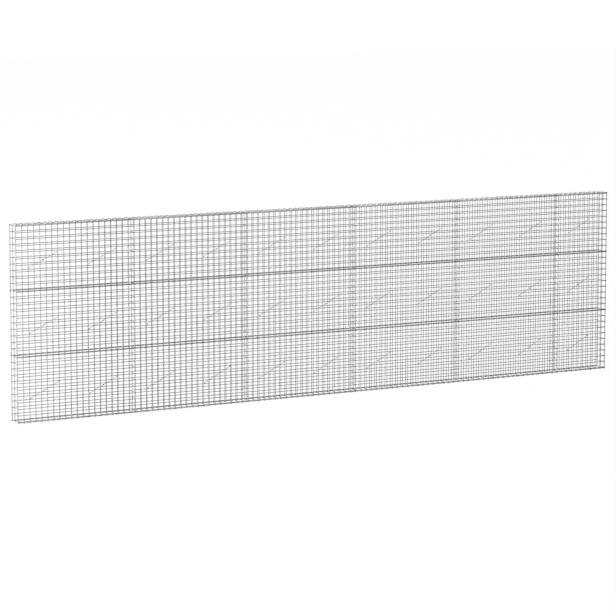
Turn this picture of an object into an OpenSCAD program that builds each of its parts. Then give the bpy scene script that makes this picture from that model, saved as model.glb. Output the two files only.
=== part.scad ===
// Empty gabion wall of welded wire mesh: bays side by side, tiers on top of each other,
// a cross panel between bays, slanting tie wires inside and a hinged mesh lid on every bay.
// The long mats run through from bay to bay: each is built one bay at a time, and every
// length starts with the upright wire at its seam and stops just short of the next one.
// The origin is at the middle of the footprint, X runs along the wall and the front faces -Y.

/* [Wall] */
// Number of full bays
full_bays = 5; // [1:1:6]
// Length of a full bay, from seam to seam
bay_length = 1000; // [600:100:1400]
// Length of the short bay at the right end, from seam to seam
short_bay_length = 500; // [400:100:800]
// Number of tiers
tiers = 3; // [1:1:4]
// Height of a tier, from seam to seam
tier_height = 500; // [400:5:700]
// Thickness of the wall over its outermost mesh wires
wall_depth = 125; // [90:1:300]

/* [Mesh] */
// Thickness of a mesh wire
wire = 5; // [3:0.1:6]
// Depth to which two crossing wires are melted together
weld = 0.4; // [0.2:0.05:0.8]
// Nominal size of a mesh cell
cell = 50; // [40:1:60]
// Of the wires in each direction, one in this many is built
wire_step = 2; // [1:1:2]
// Gap between neighbouring panels
seam = 0.5; // [0.3:0.1:1]

/* [Lids] */
// Gap between the top wires of the panels and a closed lid
lid_gap = 1; // [0.8:0.1:2]
// Gap between the ends of neighbouring lids
lid_spacing = 6; // [5:0.5:12]

/* [Clip rings] */
// Thickness of the ring wire
ring_wire = 3; // [2.5:0.1:3.4]
// Play between a ring and the wires in it
ring_play = 0.5; // [0.3:0.1:0.8]
// Mesh cells from one ring to the next
ring_every = 5; // [3:1:6]

/* [Tie wires] */
// Thickness of a tie wire
tie_wire = 3; // [2.5:0.1:4]
// Mesh cells of wall length for each tie
tie_every = 10; // [8:2:12]
// Cells from the seam to the front wire that a tie holds
tie_start = 2; // [2:2:4]
// Cells along the wall between the two ends of a tie
tie_run = 6; // [4:2:6]
// Height of a tie's front end over the tier's foot, in cells
tie_foot = 3.5; // [2.5:1:4.5]
// Rise of a tie from front to back, in cells
tie_rise = 2; // [1:1:3]
// Diameter of the wound knot at the middle of a tie
knot_d = 10; // [8:0.5:14]
// Length of the wound knot
knot_length = 20; // [16:1:40]

/* [Hidden] */
bays = full_bays + 1;
wall_length = full_bays * bay_length + short_bay_length;
// A mesh sheet is two crossing layers of wire.
sheet = 2 * wire - weld;
// Outer and inner layer of the front and back mats, measured from the wall's middle plane.
outer_y = wall_depth / 2 - wire / 2;
inner_y = outer_y - wire + weld;
cross_depth = 2 * (wall_depth / 2 - sheet - seam);
cross_edge_y = cross_depth / 2 - wire / 2;
// Cells from front to back: cross panels and lids have a wire in the middle, the base none.
depth_cells = 2;
base_cells = 1;
panel_z = sheet + seam;
panel_height = tier_height - seam;
tier_cells = wire_step * round(tier_height / cell / wire_step);
row_pitch = (panel_height - wire) / tier_cells;
top_z = sheet + tiers * tier_height;
hinge_z = top_z + lid_gap + wire / 2;
eye = wire / 2 + ring_play;

function bay_size(b) = b < full_bays ? bay_length : short_bay_length;
function bay_cells(b) = wire_step * round(bay_size(b) / cell / wire_step);
function bay_start(b) = min(b * bay_length, wall_length) - wall_length / 2;
// Middle of the upright wire at the seam before bay b, or at one of the wall's ends.
function seam_x(b) = bay_start(b) + (b == 0 ? wire / 2 : b == bays ? -wire / 2 : 0);
function column_pitch(b) = (seam_x(b + 1) - seam_x(b)) / bay_cells(b);
function column_x(b, i) = seam_x(b) + i * column_pitch(b);
function tier_z(t) = panel_z + t * tier_height;
function row_z(t, i) = tier_z(t) + wire / 2 + i * row_pitch;
function ring_gaps(cells) = [for (i = [1 : ring_every : cells - 1]) i + 0.5];
function panel_name(side, t, b) = str(side, "_panel_", t + 1, "_", b + 1);
function lid_name(b) = str("lid_", b + 1);

SIDES = ["front", "back"];

// Crossing bars of a welded mesh, lying flat with one corner at the origin: cross wires
// along Y below, one every pitch, and line wires along X on top, from first_row to rows.
module crossing_bars(length, width, pitch, columns, rows, first_row = 0) {
  for (i = [0 : columns - 1])
    translate([i * pitch, 0, 0])
      cube([wire, width, wire]);
  for (j = [first_row : rows])
    translate([0, j * (width - wire) / rows, wire - weld])
      cube([length, wire, wire]);
}

// One bay's length of a mat that runs through to the next bay.
module mat_length(b, width, rows) {
  last = b == bays - 1;
  length = seam_x(b + 1) - seam_x(b) + (last ? wire : -seam);
  columns = bay_cells(b) / wire_step + (last ? 1 : 0);
  translate([seam_x(b) - wire / 2, 0, 0])
    crossing_bars(length, width, wire_step * column_pitch(b), columns, rows);
}

// One bay's length of the front mat, standing upright with its line wires outside.
module face_panel(t, b) {
  color("silver")
    translate([0, sheet - wall_depth / 2, tier_z(t)])
      rotate([90, 0, 0])
        mat_length(b, panel_height, tier_cells / wire_step);
}

module side_panel(side, t, b) {
  mirror([0, side == "front" ? 0 : 1, 0])
    face_panel(t, b);
}

module half_bay_panels(side) {
  for (t = [0 : tiers - 1])
    side_panel(side, t, full_bays);
}

// Upright panels across the wall, one a tier. x is the middle of their upright wires, and
// their level wires lie on the side that turn points to, 1 for +X and -1 for -X.
module cross_panels(x, turn) {
  across = tier_cells / wire_step;
  pitch = (panel_height - wire) / across;
  color("silver")
    for (t = [0 : tiers - 1])
      translate([x, 0, tier_z(t)])
        mirror([turn > 0 ? 0 : 1, 0, 0])
          translate([sheet - wire / 2, -cross_depth / 2, 0])
            rotate([0, -90, 0])
              crossing_bars(panel_height, cross_depth, pitch, across + 1, depth_cells);
}

module dividers() {
  for (b = [1 : bays - 1])
    cross_panels(seam_x(b), 1);
}

module base_mesh() {
  color("silver")
    for (b = [0 : bays - 1])
      translate([0, -wall_depth / 2, 0])
        mat_length(b, wall_depth, base_cells);
}

// The lid's line wires lie below its cross wires. It turns about the back one, which is
// round and lies over the back mat's top wire.
module lid(b) {
  length = bay_size(b) - lid_spacing;
  across = bay_cells(b) / wire_step;
  pitch = (length - wire) / across;
  color("silver")
    translate([bay_start(b) + lid_spacing / 2, wall_depth / 2, top_z + lid_gap]) {
      translate([0, 0, sheet])
        rotate([180, 0, 0])
          crossing_bars(length, wall_depth, pitch, across + 1, depth_cells, 1);
      translate([0, -wire / 2, wire / 2])
        rotate([0, 90, 0])
          cylinder(d = wire, h = length, $fn = 32);
    }
}

// Closed square loop about the Z axis, with a clear opening of w by h.
module loop(w, h, thickness) {
  difference() {
    translate([-w / 2 - thickness, -h / 2 - thickness, -thickness / 2])
      cube([w + 2 * thickness, h + 2 * thickness, thickness]);
    translate([-w / 2, -h / 2, -thickness])
      cube([w, h, 2 * thickness]);
  }
}

// Ring in the YZ plane about level wires from z = low to z = high, at one of the two sides.
module level_ring(x, side_y, low, high) {
  color("gainsboro")
    translate([x, side_y, (low + high) / 2])
      rotate([0, 90, 0])
        loop(high - low + 2 * ring_play, wire + 2 * ring_play, ring_wire);
}

// Ring in the XY plane about the upright of a mat and that of the cross panel behind it.
module upright_ring(x, turn, z) {
  near = cross_edge_y - wire / 2;
  far = inner_y + wire / 2;
  color("gainsboro")
    translate([x, turn * (near + far) / 2, z])
      loop(wire + 2 * ring_play, far - near + 2 * ring_play, ring_wire);
}

module seam_rings() {
  for (turn = [-1, 1]) {
    for (b = [0 : bays - 1], g = ring_gaps(bay_cells(b)), t = [0 : tiers - 1])
      level_ring(column_x(b, g), turn * outer_y, tier_z(t) - seam - wire, tier_z(t) + wire);
    for (b = [0 : bays], t = [0 : tiers - 1], g = ring_gaps(tier_cells))
      upright_ring(seam_x(b), turn, row_z(t, g));
  }
}

module hinge_rings() {
  for (b = [0 : bays - 1], g = ring_gaps(bay_cells(b)))
    level_ring(column_x(b, g), outer_y, top_z - wire, hinge_z + wire / 2);
}

// A tie runs from an eye round a front upright to an eye round a back upright.
module tie(b, t, first) {
  front = [column_x(b, first + tie_start), -inner_y, row_z(t, tie_foot)];
  back = [column_x(b, first + tie_start + tie_run), inner_y, row_z(t, tie_foot + tie_rise)];
  span = back - front;
  flat_run = norm([span.x, span.y]);
  into_eye = eye + tie_wire / 2;
  color("lightgray") {
    translate(front)
      loop(2 * eye, 2 * eye, tie_wire);
    translate(back)
      loop(2 * eye, 2 * eye, tie_wire);
    translate((front + back) / 2)
      rotate([0, -atan2(span.z, flat_run), atan2(span.y, span.x)])
        rotate([0, 90, 0]) {
          translate([-tie_wire / 2, -tie_wire / 2, into_eye - norm(span) / 2])
            cube([tie_wire, tie_wire, norm(span) - 2 * into_eye]);
          cylinder(d = knot_d, h = knot_length, center = true, $fn = 8);
        }
  }
}

module tie_wires() {
  for (b = [0 : bays - 1], t = [0 : tiers - 1], first = [0 : tie_every : bay_cells(b) - tie_every])
    tie(b, t, first);
}

for (s = SIDES, t = [0 : tiers - 1], b = [0 : full_bays - 1])
  side_panel(s, t, b);
half_bay_panels("front");  // front_half_bay
half_bay_panels("back");  // back_half_bay
cross_panels(seam_x(0), 1);  // left_end
cross_panels(seam_x(bays), -1);  // right_end
dividers();
base_mesh();
tie_wires();
seam_rings();
hinge_rings();
for (b = [0 : bays - 1])
  lid(b);
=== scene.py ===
"""Empty gabion wall of galvanised welded mesh, five and a half bays long and three tiers high.

Every length is in metres. The CAD frame carries every second wire as a square bar. Here each
panel gets its whole mesh of round wires with weld beads, and ties and clip rings get their
bent-wire shape.
"""
from math import pi, radians

import bpy
import numpy as np
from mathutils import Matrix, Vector


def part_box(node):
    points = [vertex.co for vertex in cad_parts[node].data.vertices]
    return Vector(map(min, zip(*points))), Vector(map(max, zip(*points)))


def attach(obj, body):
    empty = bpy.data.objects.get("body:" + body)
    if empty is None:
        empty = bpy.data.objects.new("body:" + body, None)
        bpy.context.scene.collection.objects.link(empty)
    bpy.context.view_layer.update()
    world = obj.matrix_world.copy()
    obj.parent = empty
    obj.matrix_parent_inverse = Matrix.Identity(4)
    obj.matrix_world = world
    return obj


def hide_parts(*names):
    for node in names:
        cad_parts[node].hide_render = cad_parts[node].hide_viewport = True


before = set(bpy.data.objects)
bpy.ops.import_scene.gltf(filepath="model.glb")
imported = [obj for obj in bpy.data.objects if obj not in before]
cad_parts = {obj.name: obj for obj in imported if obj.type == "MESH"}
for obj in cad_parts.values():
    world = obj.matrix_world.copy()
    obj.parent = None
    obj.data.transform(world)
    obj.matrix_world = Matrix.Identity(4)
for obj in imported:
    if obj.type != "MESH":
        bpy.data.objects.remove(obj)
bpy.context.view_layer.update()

# ------------------------------------------------------------ sizes, as in the CAD model
WIRE = 0.005
WELD = 0.0004
SHEET = 2 * WIRE - WELD
CELL = 0.05
RING_WIRE = 0.003
RING_PLAY = 0.0005
RING_EVERY = 5
TIE_WIRE = 0.003
TIE_EVERY = 10
TIE_START = 2
TIE_RUN = 6
TIE_FOOT = 3.5
TIE_RISE = 2
FULL_BAYS = 5
TIERS = 3
BAYS = FULL_BAYS + 1
DEPTH_CELLS = 2
BASE_CELLS = 1

# ------------------------------------------------------------ shapes of the finished wires
# How many sides each kind of wire has round it.
MESH_SIDES = 10
TIE_SIDES = 8
WOUND_SIDES = 6
RING_SIDES = 6
BEAD_SIDES = 6
# A cut end's chamfer: its length and the radius left at the cut, in shares of the wire's radius.
CHAMFER = 0.25
CUT_END = 0.78
# A weld bead's greatest radius and half its height in wire thicknesses, its radius at both ends
# as a share of the greatest, and how much smaller or larger a bead may be.
BEAD_RADIUS = 0.62
BEAD_HALF_HEIGHT = 0.42
BEAD_END = 0.62
BEAD_SPREAD = (0.85, 1.12)
# Half of the gap where a clip ring's ends meet, as an angle, and the number of points along it.
RING_OPENING = 0.10
RING_STEPS = 15
# A tie's windings: radius and pitch in tie wires, and the number of turns. A tail starts clear of
# its eye, and the knot half its length before the middle.
WINDING_PITCH = 1.02
TAIL_RADIUS = 0.95
TAIL_TURNS = 1.5
TAIL_CLEARANCE = 1.1
KNOT_RADIUS = 1.0
KNOT_TURNS = 5.5
KNOT_HALF = 0.0085
# Points to one turn of a winding.
COIL_STEPS = 10
# Points round a tie's eye.
EYE_STEPS = 17

# Halfway from one crossing to the next, counted in cells along a wire.
HALF_CELL = 0.5

WALL_BODY = "wall"
AXIS_X, AXIS_Y, AXIS_Z = np.eye(3)
DICE = np.random.default_rng(20)


# ------------------------------------------------------------ mesh building
def grid_faces(rings, sides, first):
    """Quads of tubes: side k of ring j joins side k of ring j + 1, and the last side the first.

    first holds the number of each tube's first vertex.
    """
    j, k = np.meshgrid(np.arange(rings - 1), np.arange(sides), indexing="ij")
    after = (k + 1) % sides
    near, far = j * sides, (j + 1) * sides
    quad = np.stack([near + k, near + after, far + after, far + k], axis=-1)
    return (quad.reshape(1, -1, 4) + first.reshape(-1, 1, 1)).reshape(-1, 4)


def cap_faces(rings, sides, first):
    """One polygon over the first ring of each tube, turned outwards, and one over its last ring."""
    near = np.arange(sides)[::-1]
    far = (rings - 1) * sides + np.arange(sides)
    return (np.stack([near, far])[None] + first.reshape(-1, 1, 1)).reshape(-1, sides)


def tubes(centres, side, up, radius, along, sides):
    """Tubes with flat caps: point = centre + radius (cos a side + sin a up), a in even steps round.

    centres, side and up are (tubes, rings, 3); radius and along are (tubes, rings).
    """
    count, rings = radius.shape
    angle = (np.arange(sides) + 0.5) * 2 * pi / sides
    spoke = np.cos(angle)[:, None] * side[:, :, None] + np.sin(angle)[:, None] * up[:, :, None]
    points = centres[:, :, None] + radius[:, :, None, None] * spoke
    first = np.arange(count) * rings * sides
    return {
        "points": points.reshape(-1, 3),
        "along": np.repeat(along.reshape(-1), sides),
        "faces": [grid_faces(rings, sides, first), cap_faces(rings, sides, first)],
    }


def straight_wires(starts, ends, radius, pitch, cut=(True, True), sides=MESH_SIDES):
    """Straight round wires, with a small chamfer at each cut end and none where the wire runs on.

    The centre runs evenly from start to end. along counts mesh cells of the pitch from the first
    crossing, which is half a wire from the start, so whole numbers are the crossings.
    """
    run = ends - starts
    length = np.linalg.norm(run, axis=1)
    way = run / length[:, None]
    side = perpendicular(way)
    up = np.cross(way, side)
    chamfer = np.full_like(length, CHAMFER * radius)
    at = np.stack([0 * length, chamfer, length - chamfer, length], axis=1)
    thick = radius * np.array([CUT_END if cut[0] else 1.0, 1.0, 1.0, CUT_END if cut[1] else 1.0])
    centres = starts[:, None] + way[:, None] * at[..., None]
    shape = centres.shape
    return tubes(
        centres,
        np.broadcast_to(side[:, None], shape),
        np.broadcast_to(up[:, None], shape),
        np.broadcast_to(thick, shape[:2]),
        (at - WIRE / 2) / pitch,
        sides,
    )


def perpendicular(way):
    """A unit vector square to each way: its cross product with the axis it runs along least."""
    helper = np.eye(3)[np.argmin(np.abs(way), axis=-1)]
    side = np.cross(way, helper)
    return side / np.linalg.norm(side, axis=-1, keepdims=True)


def bent_wire(path, radius, lead, sides):
    """A round wire along one path: each ring of points stands square to it and turns with it.

    lead is a fixed direction that no part of the path follows. side = way x lead, made a unit
    vector.
    """
    way = np.gradient(path, axis=0)
    way /= np.linalg.norm(way, axis=1, keepdims=True)
    side = np.cross(way, lead)
    side /= np.linalg.norm(side, axis=1, keepdims=True)
    up = np.cross(way, side)
    thick = np.full(len(path), radius)
    thick[[0, -1]] *= CUT_END
    steps = np.linalg.norm(np.diff(path, axis=0), axis=1)
    reach = np.concatenate([[0], np.cumsum(steps)])
    along = reach[None] / CELL + HALF_CELL
    return tubes(path[None], side[None], up[None], thick[None], along, sides)


def weld_beads(centres, normal):
    """Melted beads where two wires cross: three rings of points, the middle one widest, ends flat.

    Each bead lies between the two wires, its axis along normal, with a size and turn of its own.
    """
    count = len(centres)
    wide = BEAD_RADIUS * WIRE * DICE.uniform(*BEAD_SPREAD, count)
    height = BEAD_HALF_HEIGHT * WIRE * np.array([-1.0, 0.0, 1.0])
    thick = wide[:, None] * np.array([BEAD_END, 1.0, BEAD_END])
    turn = DICE.uniform(0, 2 * pi / BEAD_SIDES, count)
    base = perpendicular(normal[None])[0]
    other = np.cross(normal, base)
    side = np.cos(turn)[:, None] * base + np.sin(turn)[:, None] * other
    up = np.cross(normal, side)
    path = centres[:, None] + height[:, None] * normal
    shape = path.shape
    return tubes(
        path,
        np.broadcast_to(side[:, None], shape),
        np.broadcast_to(up[:, None], shape),
        thick,
        np.zeros(shape[:2]),
        BEAD_SIDES,
    )


def make_piece(name, parts, material, body, replaced):
    """One mesh object from the parts, smooth-shaded but for the caps, riding on its body.

    Its material is the one given, and it stands for the replaced CAD node.
    """
    offset, points, along, loops, sizes, smooth = 0, [], [], [], [], []
    for part in parts:
        for k, faces in enumerate(part["faces"]):
            loops.append((faces + offset).reshape(-1))
            sizes.append(np.full(len(faces), faces.shape[1]))
            smooth.append(np.full(len(faces), k == 0))
        points.append(part["points"])
        along.append(part["along"])
        offset += len(part["points"])
    points, along = np.concatenate(points), np.concatenate(along)
    loops, sizes, smooth = np.concatenate(loops), np.concatenate(sizes), np.concatenate(smooth)
    mesh = bpy.data.meshes.new(name)
    mesh.vertices.add(len(points))
    mesh.vertices.foreach_set("co", points.astype(np.float32).reshape(-1))
    mesh.loops.add(len(loops))
    mesh.loops.foreach_set("vertex_index", loops.astype(np.int32))
    mesh.polygons.add(len(sizes))
    starts = np.concatenate([[0], np.cumsum(sizes)[:-1]])
    mesh.polygons.foreach_set("loop_start", starts.astype(np.int32))
    mesh.polygons.foreach_set("use_smooth", smooth)
    reach = mesh.attributes.new("along", "FLOAT", "POINT")
    reach.data.foreach_set("value", along.astype(np.float32))
    mesh.update(calc_edges=True)
    mesh.validate()
    mesh.materials.append(material)
    piece = bpy.data.objects.new(name, mesh)
    bpy.context.scene.collection.objects.link(piece)
    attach(piece, body)
    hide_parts(replaced)
    return piece


# ------------------------------------------------------------ mesh sheets
def sheet(corner, ways, length, width, pitch, columns, rows, cut_end=True):
    """A welded sheet: cross wires along the short way below, line wires along the long way on top.

    ways are the long way, the short way and the normal, from the cross wires to the line wires.
    Cross wire i is i pitches along, line wire j is j / rows of the way across, and every crossing
    gets a bead. cut_end is false where the line wires run on into the next bay.
    """
    long_way, short_way, normal = ways
    i = np.arange(columns) * pitch + WIRE / 2
    row_pitch = (width - WIRE) / rows
    j = np.arange(rows + 1) * row_pitch + WIRE / 2
    cross_starts = corner + normal * WIRE / 2 + i[:, None] * long_way
    line_starts = corner + normal * (SHEET - WIRE / 2) + j[:, None] * short_way
    cross_ends = cross_starts + width * short_way
    line_ends = line_starts + length * long_way
    crossings = i[:, None, None] * long_way + j[None, :, None] * short_way
    middle = corner + normal * SHEET / 2 + crossings
    return [
        straight_wires(cross_starts, cross_ends, WIRE / 2, row_pitch),
        straight_wires(line_starts, line_ends, WIRE / 2, pitch, (True, cut_end)),
        weld_beads(middle.reshape(-1, 3), normal),
    ]


def cells_in(length):
    """How many mesh cells fit a length."""
    return int(round(length / CELL))


def seam_x(b):
    """x of the upright wire at the seam before bay b, counted from 0, or at the right end."""
    node_name = f"front_panel_1_{b + 1}" if b < FULL_BAYS else "front_half_bay"
    low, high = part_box(node_name)
    return high[0] - WIRE / 2 if b == BAYS else low[0] + WIRE / 2


def bay_cells(b):
    """How many mesh cells bay b is long."""
    return cells_in(seam_x(b + 1) - seam_x(b))


def column_x(b, i):
    """x of the middle of upright wire i in bay b; i may lie between two wires."""
    return seam_x(b) + i * (seam_x(b + 1) - seam_x(b)) / bay_cells(b)


def tier_span(t):
    """Lowest and highest z of the mats of tier t, counted from 0."""
    low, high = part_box(f"front_panel_{t + 1}_1")
    return low[2], high[2]


def row_z(t, i):
    """z of the middle of level wire i in tier t; i may lie between two wires."""
    low, high = tier_span(t)
    return low + WIRE / 2 + i * (high - low - WIRE) / cells_in(high - low)


def mat_length(corner, short_way, normal, b, width, rows):
    """One bay's length of a long mat, with no wire at its right end but in the last bay."""
    last = b == BAYS - 1
    length = seam_x(b + 1) - seam_x(b) + (WIRE if last else 0.0)
    pitch = (seam_x(b + 1) - seam_x(b)) / bay_cells(b)
    corner = corner + (seam_x(b) - WIRE / 2) * AXIS_X
    ways = (AXIS_X, short_way, normal)
    return sheet(corner, ways, length, width, pitch, bay_cells(b) + last, rows, last)


def face_mat(side, t, b):
    """A bay of the front or back mat: upright cross wires inside, level line wires outside."""
    z0, z1 = tier_span(t)
    out = AXIS_Y * (-1 if side == "front" else 1)
    foot = z0 * AXIS_Z + out * (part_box("base_mesh")[1][1] - SHEET)
    return mat_length(foot, AXIS_Z, out, b, z1 - z0, cells_in(z1 - z0))


def cross_panel(x, half_depth, t, turn):
    """Panel across the wall: upright line wires at x, level cross wires on the turn side of them.

    turn is 1 or -1.
    """
    z0, z1 = tier_span(t)
    normal = -turn * AXIS_X
    foot = np.array([x, -half_depth, z0]) - normal * (SHEET - WIRE / 2)
    rows = cells_in(z1 - z0)
    pitch = (z1 - z0 - WIRE) / rows
    ways = (AXIS_Z, AXIS_Y, normal)
    return sheet(foot, ways, z1 - z0, 2 * half_depth, pitch, rows + 1, DEPTH_CELLS)


def lid_sheet(b):
    """A lid: line wires along x below, cross wires along y on top of them."""
    low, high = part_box(f"lid_{b + 1}")
    length, width = high[0] - low[0], high[1] - low[1]
    corner = np.array([low[0], low[1], high[2]])
    cells = cells_in(length)
    pitch = (length - WIRE) / cells
    ways = (AXIS_X, AXIS_Y, -AXIS_Z)
    return sheet(corner, ways, length, width, pitch, cells + 1, DEPTH_CELLS)


def make_mats(material):
    """Front and back mats: a piece for each full bay and tier, and one a side for the half bay."""
    for side in ("front", "back"):
        for t in range(TIERS):
            for b in range(FULL_BAYS):
                make_piece(f"{side}_mesh_{t + 1}_{b + 1}", face_mat(side, t, b), material,
                           WALL_BODY, f"{side}_panel_{t + 1}_{b + 1}")
        parts = [part for t in range(TIERS) for part in face_mat(side, t, FULL_BAYS)]
        make_piece(f"{side}_half_bay_mesh", parts, material,
                   WALL_BODY, f"{side}_half_bay")


def make_base(material):
    """The base mesh of all bays in one piece, its line wires on top."""
    low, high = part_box("base_mesh")
    front_edge = low[1] * AXIS_Y
    width = high[1] - low[1]
    parts = [part for b in range(BAYS)
             for part in mat_length(front_edge, AXIS_Y, AXIS_Z, b, width, BASE_CELLS)]
    make_piece("base_sheet", parts, material, WALL_BODY, "base_mesh")


def make_cross_panels(end_material, divider_painted_light_material):
    """The panels that close both ends, and those between the bays in one piece."""
    half_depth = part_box("left_end")[1][1]
    for end, b, turn in (("left_end", 0, 1), ("right_end", BAYS, -1)):
        parts = [part for t in range(TIERS)
                 for part in cross_panel(seam_x(b), half_depth, t, turn)]
        make_piece(f"{end}_mesh", parts, end_material, WALL_BODY, end)
    parts = [part for b in range(1, BAYS) for t in range(TIERS)
             for part in cross_panel(seam_x(b), half_depth, t, 1)]
    # The panels between bays take the paler zinc, whose colour paints light onto their shaded level
    # wires.
    make_piece("divider_mesh", parts, divider_painted_light_material, WALL_BODY, "dividers")


def make_lids(material):
    """One lid a bay, each on its own body."""
    for b in range(BAYS):
        make_piece(f"lid_mesh_{b + 1}", lid_sheet(b), material,
                   f"lid_body_{b + 1}", f"lid_{b + 1}")


# ------------------------------------------------------------ clip rings
def signed_root(value):
    """The square root of a number's size, with the number's sign."""
    return np.sign(value) * np.sqrt(np.abs(value))


def ring(centre, across, along, half_across, half_along):
    """A clip ring bent round some wires: x = half width root(cos a), y = half height root(sin a).

    Each root keeps the sign, which makes an oval with nearly square corners. The ring's centre
    line is half the ring wire outside the play, and a small gap is left where its ends meet.
    """
    a = np.linspace(RING_OPENING, 2 * pi - RING_OPENING, RING_STEPS)
    grow = RING_PLAY + RING_WIRE / 2
    x = (half_across + grow) * signed_root(np.cos(a))
    y = (half_along + grow) * signed_root(np.sin(a))
    path = centre + x[:, None] * across + y[:, None] * along
    return bent_wire(path, RING_WIRE / 2, np.cross(across, along), RING_SIDES)


def ring_gaps(cells):
    """Middles of the mesh cells that a ring sits in, counted in cells."""
    return np.arange(1, cells, RING_EVERY) + 0.5


def level_ring(x, y, low, high):
    """Ring about level wires that lie over each other between z = low and z = high."""
    centre = np.array([x, y, (low + high) / 2])
    return ring(centre, AXIS_Y, AXIS_Z, WIRE / 2, (high - low) / 2)


def upright_ring(x, side, near, far, z):
    """Ring about the uprights of a mat and a cross panel, at the back (side 1) or front (-1)."""
    centre = np.array([x, side * (near + far) / 2, z])
    return ring(centre, AXIS_Y * side, AXIS_X, (far - near) / 2, WIRE / 2)


def make_rings(material):
    """The rings on all seams in one piece, and those that hold the lids in another."""
    base_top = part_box("base_mesh")[1]
    outer_y = base_top[1] - WIRE / 2
    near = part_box("left_end")[1][1] - WIRE
    far = base_top[1] - SHEET + WIRE
    parts = []
    for side in (-1, 1):
        for b in range(BAYS):
            for gap in ring_gaps(bay_cells(b)):
                for t in range(TIERS):
                    below = base_top[2] if t == 0 else tier_span(t - 1)[1]
                    low, high = below - WIRE, tier_span(t)[0] + WIRE
                    parts.append(level_ring(column_x(b, gap), side * outer_y, low, high))
        for t in range(TIERS):
            z0, z1 = tier_span(t)
            for gap in ring_gaps(cells_in(z1 - z0)):
                parts += [upright_ring(seam_x(b), side, near, far, row_z(t, gap))
                          for b in range(BAYS + 1)]
    make_piece("clip_rings", parts, material, WALL_BODY, "seam_rings")
    top = tier_span(TIERS - 1)[1]
    hinge_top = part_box("lid_1")[0][2] + WIRE
    parts = [level_ring(column_x(b, gap), outer_y, top - WIRE, hinge_top)
             for b in range(BAYS) for gap in ring_gaps(bay_cells(b))]
    make_piece("lid_hinge_rings", parts, material, WALL_BODY, "hinge_rings")


# ------------------------------------------------------------ tie wires
def coil(start, way, radius, turns):
    """Helix about a straight stem: point = start + a share of the pitch along way + radius
    (cos a side + sin a up), where the share is a / a full turn."""
    pitch = TIE_WIRE * WINDING_PITCH
    a = np.linspace(0, 2 * pi * turns, int(turns * COIL_STEPS) + 1)
    side = perpendicular(way[None])[0]
    up = np.cross(way, side)
    path = start + (a / (2 * pi) * pitch)[:, None] * way
    return path + radius * (np.cos(a)[:, None] * side + np.sin(a)[:, None] * up)


def wound_wire(path, way, centre):
    """Tie wire wound about a stem through centre: side = tangent x spoke, where the spoke runs
    from the stem straight out to the path."""
    tangent = np.gradient(path, axis=0)
    tangent /= np.linalg.norm(tangent, axis=1, keepdims=True)
    spoke = path - centre
    spoke -= (spoke @ way)[:, None] * way
    spoke /= np.linalg.norm(spoke, axis=1, keepdims=True)
    side = np.cross(tangent, spoke)
    side /= np.linalg.norm(side, axis=1, keepdims=True)
    up = np.cross(tangent, side)
    thick = np.full((1, len(path)), TIE_WIRE / 2)
    along = np.full((1, len(path)), HALF_CELL)
    return tubes(path[None], side[None], up[None], thick, along, WOUND_SIDES)


def tie(b, t, first):
    """A tie: an eye round a front upright and one round a back upright, a straight stem between
    them, its tails wound back on the stem next to the eyes, and a wound knot at the middle.

    An eye is a circle: place + radius (cos a flat way + sin a across). The flat way is the stem's,
    without its rise.
    """
    inner_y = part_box("base_mesh")[1][1] - SHEET + WIRE / 2
    held = first + TIE_START
    front = np.array([column_x(b, held), -inner_y, row_z(t, TIE_FOOT)])
    back = np.array([column_x(b, held + TIE_RUN), inner_y, row_z(t, TIE_FOOT + TIE_RISE)])
    span = back - front
    length = np.linalg.norm(span)
    way = span / length
    eye = WIRE / 2 + RING_PLAY + TIE_WIRE / 2
    stem = (front + way * eye)[None], (back - way * eye)[None]
    parts = [straight_wires(*stem, TIE_WIRE / 2, 1.0, sides=TIE_SIDES)]
    a = np.linspace(0, 2 * pi, EYE_STEPS)
    flat_way = np.array([way[0], way[1], 0]) / np.hypot(way[0], way[1])
    across = np.cross(AXIS_Z, flat_way)
    circle = np.cos(a)[:, None] * flat_way + np.sin(a)[:, None] * across
    for place, turn in ((front, 1), (back, -1)):
        parts.append(bent_wire(place + eye * turn * circle, TIE_WIRE / 2, AXIS_Z, TIE_SIDES))
        tail_start = place + turn * way * (eye + TAIL_CLEARANCE * TIE_WIRE)
        path = coil(tail_start, turn * way, TIE_WIRE * TAIL_RADIUS, TAIL_TURNS)
        parts.append(wound_wire(path, way, place))
    middle = (front + back) / 2
    path = coil(middle - way * KNOT_HALF, way, TIE_WIRE * KNOT_RADIUS, KNOT_TURNS)
    parts.append(wound_wire(path, way, middle))
    return parts


def make_ties(material):
    """All ties in one piece, one for every ten cells of a bay's length in each tier."""
    parts = []
    for b in range(BAYS):
        for t in range(TIERS):
            for first in range(0, bay_cells(b) - TIE_EVERY + 1, TIE_EVERY):
                parts += tie(b, t, first)
    make_piece("ties", parts, material, WALL_BODY, "tie_wires")


# ------------------------------------------------------------ materials
def node(tree, kind, **values):
    """Adds one node. A value named in_ and a socket's name or number goes to that socket, any other
    to the node's own setting."""
    made = tree.nodes.new(kind)
    for key, value in values.items():
        if key.startswith("in_"):
            name = key[3:]
            socket = int(name) if name.isdigit() else name.replace("_", " ")
            made.inputs[socket].default_value = value
        else:
            setattr(made, key, value)
    return made


# Light and dark tone of the zinc on each kind of piece.
MESH_TONES = (0.44, 0.444, 0.449, 1.0), (0.29, 0.293, 0.296, 1.0)
# The panel tones are the mats' zinc made paler as painted light: they light the cross wires of the
# panels between bays, the lids and the base, which the lamps leave in shade.
PANEL_TONES_PAINTED_LIGHT = (0.62, 0.626, 0.632, 1.0), (0.44, 0.444, 0.449, 1.0)
TIE_TONES = (0.74, 0.747, 0.755, 1.0), (0.56, 0.566, 0.571, 1.0)
RING_TONES = (0.6, 0.606, 0.612, 1.0), (0.42, 0.424, 0.428, 1.0)
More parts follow.
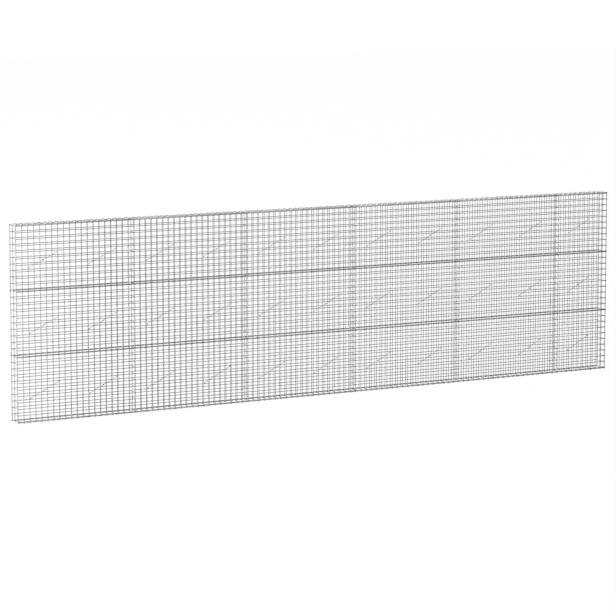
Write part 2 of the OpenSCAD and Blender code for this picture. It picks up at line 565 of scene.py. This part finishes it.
# Sizes of the zinc's crystals, clouds and grain, in repeats to the metre, and their detail.
CRYSTAL_SCALE = 220.0
CLOUD_SCALE = 9.0
CLOUD_DETAIL = 5.0
CLOUD_HARSHNESS = 0.6
GRAIN_SCALE = 900.0
GRAIN_DETAIL = 3.0
# From the dark tone to the light one: how far the darkest and the lightest crystal go.
CRYSTAL_BLEND = (0.25, 0.85)
# Pale bloom: the cloud values between which it grows, its greatest share, and its tone over the
# light one.
BLOOM_FROM, BLOOM_TO = 0.42, 0.72
BLOOM_SHARE = 0.35
BLOOM_TONE = 1.5
# Burnt zinc at a weld: the distances in cells between which it fades, its share, and its tone
# over the dark one.
BURN_FROM, BURN_TO = 0.03, 0.14
BURN_SHARE = 0.45
BURN_TONE = 0.55
# Roughness follows the clouds: the two cloud values, and the roughness at each.
ROUGH_CLOUDS = (0.3, 0.7)
ROUGHNESS = (0.42, 0.68)
# Relief: the grain's part in it next to the crystals', how strong it is, and its depth.
GRAIN_PART = 0.35
BUMP_STRENGTH = 0.35
BUMP_DEPTH = 0.0004
# Weathered zinc has little bare metal left and mirrors little.
METAL_SHARE = 0.08
MIRROR_STRENGTH = 0.12


def scaled(color, factor):
    """The colour times the factor, no channel over 1, and opaque."""
    return tuple(min(1.0, factor * channel) for channel in color[:3]) + (1.0,)


def map_range(tree, source, old, new):
    """A node that takes the source from the old range to the new one."""
    made = node(tree, "ShaderNodeMapRange", in_1=old[0], in_2=old[1], in_3=new[0], in_4=new[1])
    tree.links.new(source, made.inputs[0])
    return made


def galvanised(name, light, dark):
    """Weathered zinc on wire: crystals a few millimetres wide, broad clouds of pale bloom, a darker
    burnt ring at each weld, fine grain in the bump, and roughness that follows the clouds."""
    material = bpy.data.materials.new(name)
    material.use_nodes = True
    tree = material.node_tree
    tree.nodes.clear()
    link = tree.links.new
    place = node(tree, "ShaderNodeTexCoord")
    crystals = node(tree, "ShaderNodeTexVoronoi", in_Scale=CRYSTAL_SCALE)
    clouds = node(tree, "ShaderNodeTexNoise",
                  in_Scale=CLOUD_SCALE, in_Detail=CLOUD_DETAIL, in_Roughness=CLOUD_HARSHNESS)
    grain = node(tree, "ShaderNodeTexNoise", in_Scale=GRAIN_SCALE, in_Detail=GRAIN_DETAIL)
    for texture in (crystals, clouds, grain):
        link(place.outputs["Object"], texture.inputs["Vector"])
    crystal_tone = node(tree, "ShaderNodeSeparateColor")
    link(crystals.outputs["Color"], crystal_tone.inputs[0])
    tones = node(tree, "ShaderNodeMix", data_type="RGBA", in_6=dark, in_7=light)
    blend = map_range(tree, crystal_tone.outputs[0], (0.0, 1.0), CRYSTAL_BLEND)
    link(blend.outputs[0], tones.inputs[0])
    bloom = map_range(tree, clouds.outputs[0], (BLOOM_FROM, BLOOM_TO), (0.0, BLOOM_SHARE))
    dull = node(tree, "ShaderNodeMix", data_type="RGBA", in_7=scaled(light, BLOOM_TONE))
    link(bloom.outputs[0], dull.inputs[0])
    link(tones.outputs[2], dull.inputs[6])
    along = node(tree, "ShaderNodeAttribute", attribute_name="along")
    to_crossing = node(tree, "ShaderNodeMath", operation="PINGPONG", in_1=HALF_CELL)
    link(along.outputs["Fac"], to_crossing.inputs[0])
    burn = map_range(tree, to_crossing.outputs[0], (BURN_FROM, BURN_TO), (BURN_SHARE, 0.0))
    burnt = node(tree, "ShaderNodeMix", data_type="RGBA", in_7=scaled(dark, BURN_TONE))
    link(burn.outputs[0], burnt.inputs[0])
    link(dull.outputs[2], burnt.inputs[6])
    rough = map_range(tree, clouds.outputs[0], ROUGH_CLOUDS, ROUGHNESS)
    relief = node(tree, "ShaderNodeMath", operation="MULTIPLY_ADD", in_1=GRAIN_PART)
    link(grain.outputs[0], relief.inputs[0])
    link(crystals.outputs["Distance"], relief.inputs[2])
    bump = node(tree, "ShaderNodeBump", in_Strength=BUMP_STRENGTH, in_Distance=BUMP_DEPTH)
    link(relief.outputs[0], bump.inputs["Height"])
    surface = node(tree, "ShaderNodeBsdfPrincipled",
                   in_Metallic=METAL_SHARE, in_Specular_IOR_Level=MIRROR_STRENGTH)
    link(burnt.outputs[2], surface.inputs["Base Color"])
    link(rough.outputs[0], surface.inputs["Roughness"])
    link(bump.outputs[0], surface.inputs["Normal"])
    output = node(tree, "ShaderNodeOutputMaterial")
    link(surface.outputs[0], output.inputs[0])
    return material


# ------------------------------------------------------------ studio
FLOOR_HALF = 60.0
FLOOR_TONE = (0.9, 0.9, 0.9, 1.0)
# How bright the floor shines for the camera, and the share of it that does.
FLOOR_SHINE = 1.02
FLOOR_SHARE = 0.97
WHITE = (1.0, 1.0, 1.0, 1.0)
# How bright the world is for everything but the camera and reflections.
WORLD_LIGHT = 0.04
# The two lamps share a size and an aim, and each has its place and its power.
SOFTBOX_SIZE = 10.0
SOFTBOX_AIM = (0.0, 0.0, 0.7)
FRONT_SOFTBOX = (-48.9, -10.4, 4.0), 18600.0
BACK_SOFTBOX = (-44.4, 19.8, 12.8), 33500.0
# The camera's place, how many degrees it tips down and turns right, its lens and its reach.
CAMERA_PLACE = (-11.401, -19.141, 3.632)
CAMERA_TIP = 7.5
CAMERA_TURN = 30.412
CAMERA_LENS = 162.89
CAMERA_SENSOR = 36.0
CAMERA_REACH = 200.0


def make_floor():
    """A pale floor that looks white and keeps a faint shadow: most of it shines for the camera."""
    corners = [(x * FLOOR_HALF, y * FLOOR_HALF, 0) for x, y in ((-1, -1), (1, -1), (1, 1), (-1, 1))]
    mesh = bpy.data.meshes.new("studio_floor")
    mesh.from_pydata(corners, [], [(0, 1, 2, 3)])
    floor = bpy.data.objects.new("studio_floor", mesh)
    bpy.context.scene.collection.objects.link(floor)
    material = bpy.data.materials.new("pale_floor")
    material.use_nodes = True
    tree = material.node_tree
    tree.nodes.clear()
    link = tree.links.new
    matt = node(tree, "ShaderNodeBsdfDiffuse", in_Color=FLOOR_TONE)
    shine = node(tree, "ShaderNodeEmission", in_Color=WHITE, in_Strength=FLOOR_SHINE)
    rays = node(tree, "ShaderNodeLightPath")
    seen = node(tree, "ShaderNodeMath", operation="MAXIMUM")
    share = node(tree, "ShaderNodeMath", operation="MULTIPLY", in_1=FLOOR_SHARE)
    mixed = node(tree, "ShaderNodeMixShader")
    link(rays.outputs["Is Camera Ray"], seen.inputs[0])
    link(rays.outputs["Is Glossy Ray"], seen.inputs[1])
    link(seen.outputs[0], share.inputs[0])
    link(share.outputs[0], mixed.inputs[0])
    link(matt.outputs[0], mixed.inputs[1])
    link(shine.outputs[0], mixed.inputs[2])
    output = node(tree, "ShaderNodeOutputMaterial")
    link(mixed.outputs[0], output.inputs[0])
    mesh.materials.append(material)


def make_world():
    """White to the camera and to reflections, and a soft even light on everything else."""
    world = bpy.data.worlds.new("studio")
    bpy.context.scene.world = world
    world.use_nodes = True
    tree = world.node_tree
    tree.nodes.clear()
    link = tree.links.new
    rays = node(tree, "ShaderNodeLightPath")
    seen = node(tree, "ShaderNodeMath", operation="MAXIMUM")
    strength = node(tree, "ShaderNodeMapRange", in_3=WORLD_LIGHT, in_4=1.0)
    link(rays.outputs["Is Camera Ray"], seen.inputs[0])
    link(rays.outputs["Is Glossy Ray"], seen.inputs[1])
    link(seen.outputs[0], strength.inputs[0])
    background = node(tree, "ShaderNodeBackground", in_Color=WHITE)
    link(strength.outputs[0], background.inputs["Strength"])
    output = node(tree, "ShaderNodeOutputWorld")
    link(background.outputs[0], output.inputs[0])


def softbox(name, place, power):
    """A square lamp at place that faces the middle of the wall."""
    data = bpy.data.lights.new(name, "AREA")
    data.shape = "SQUARE"
    data.size = SOFTBOX_SIZE
    data.energy = power
    lamp = bpy.data.objects.new(name, data)
    lamp.location = place
    to_wall = Vector(SOFTBOX_AIM) - Vector(place)
    lamp.rotation_euler = to_wall.to_track_quat("-Z", "Y").to_euler()
    bpy.context.scene.collection.objects.link(lamp)


def make_camera():
    """A long lens at the front left, above the wall and tipped down to it."""
    data = bpy.data.cameras.new("view")
    data.lens = CAMERA_LENS
    data.sensor_width = CAMERA_SENSOR
    data.clip_end = CAMERA_REACH
    camera = bpy.data.objects.new("view", data)
    camera.location = CAMERA_PLACE
    camera.rotation_euler = (radians(90 - CAMERA_TIP), 0.0, radians(-CAMERA_TURN))
    bpy.context.scene.collection.objects.link(camera)
    bpy.context.scene.camera = camera


mesh_zinc = galvanised("galvanised_mesh", *MESH_TONES)
# A paler copy of the mats' zinc, with painted light for the shaded cross wires of the base, the
# panels between bays and the lids.
panel_zinc_painted_light = galvanised("galvanised_panel_painted_light", *PANEL_TONES_PAINTED_LIGHT)
tie_zinc = galvanised("galvanised_tie", *TIE_TONES)
ring_zinc = galvanised("galvanised_ring", *RING_TONES)

make_mats(mesh_zinc)
make_base(panel_zinc_painted_light)
make_cross_panels(mesh_zinc, panel_zinc_painted_light)
make_lids(panel_zinc_painted_light)
make_rings(ring_zinc)
make_ties(tie_zinc)

make_floor()
make_world()
softbox("front_softbox", *FRONT_SOFTBOX)
softbox("back_softbox", *BACK_SOFTBOX)
make_camera()
bpy.context.scene.view_settings.view_transform = "Standard"
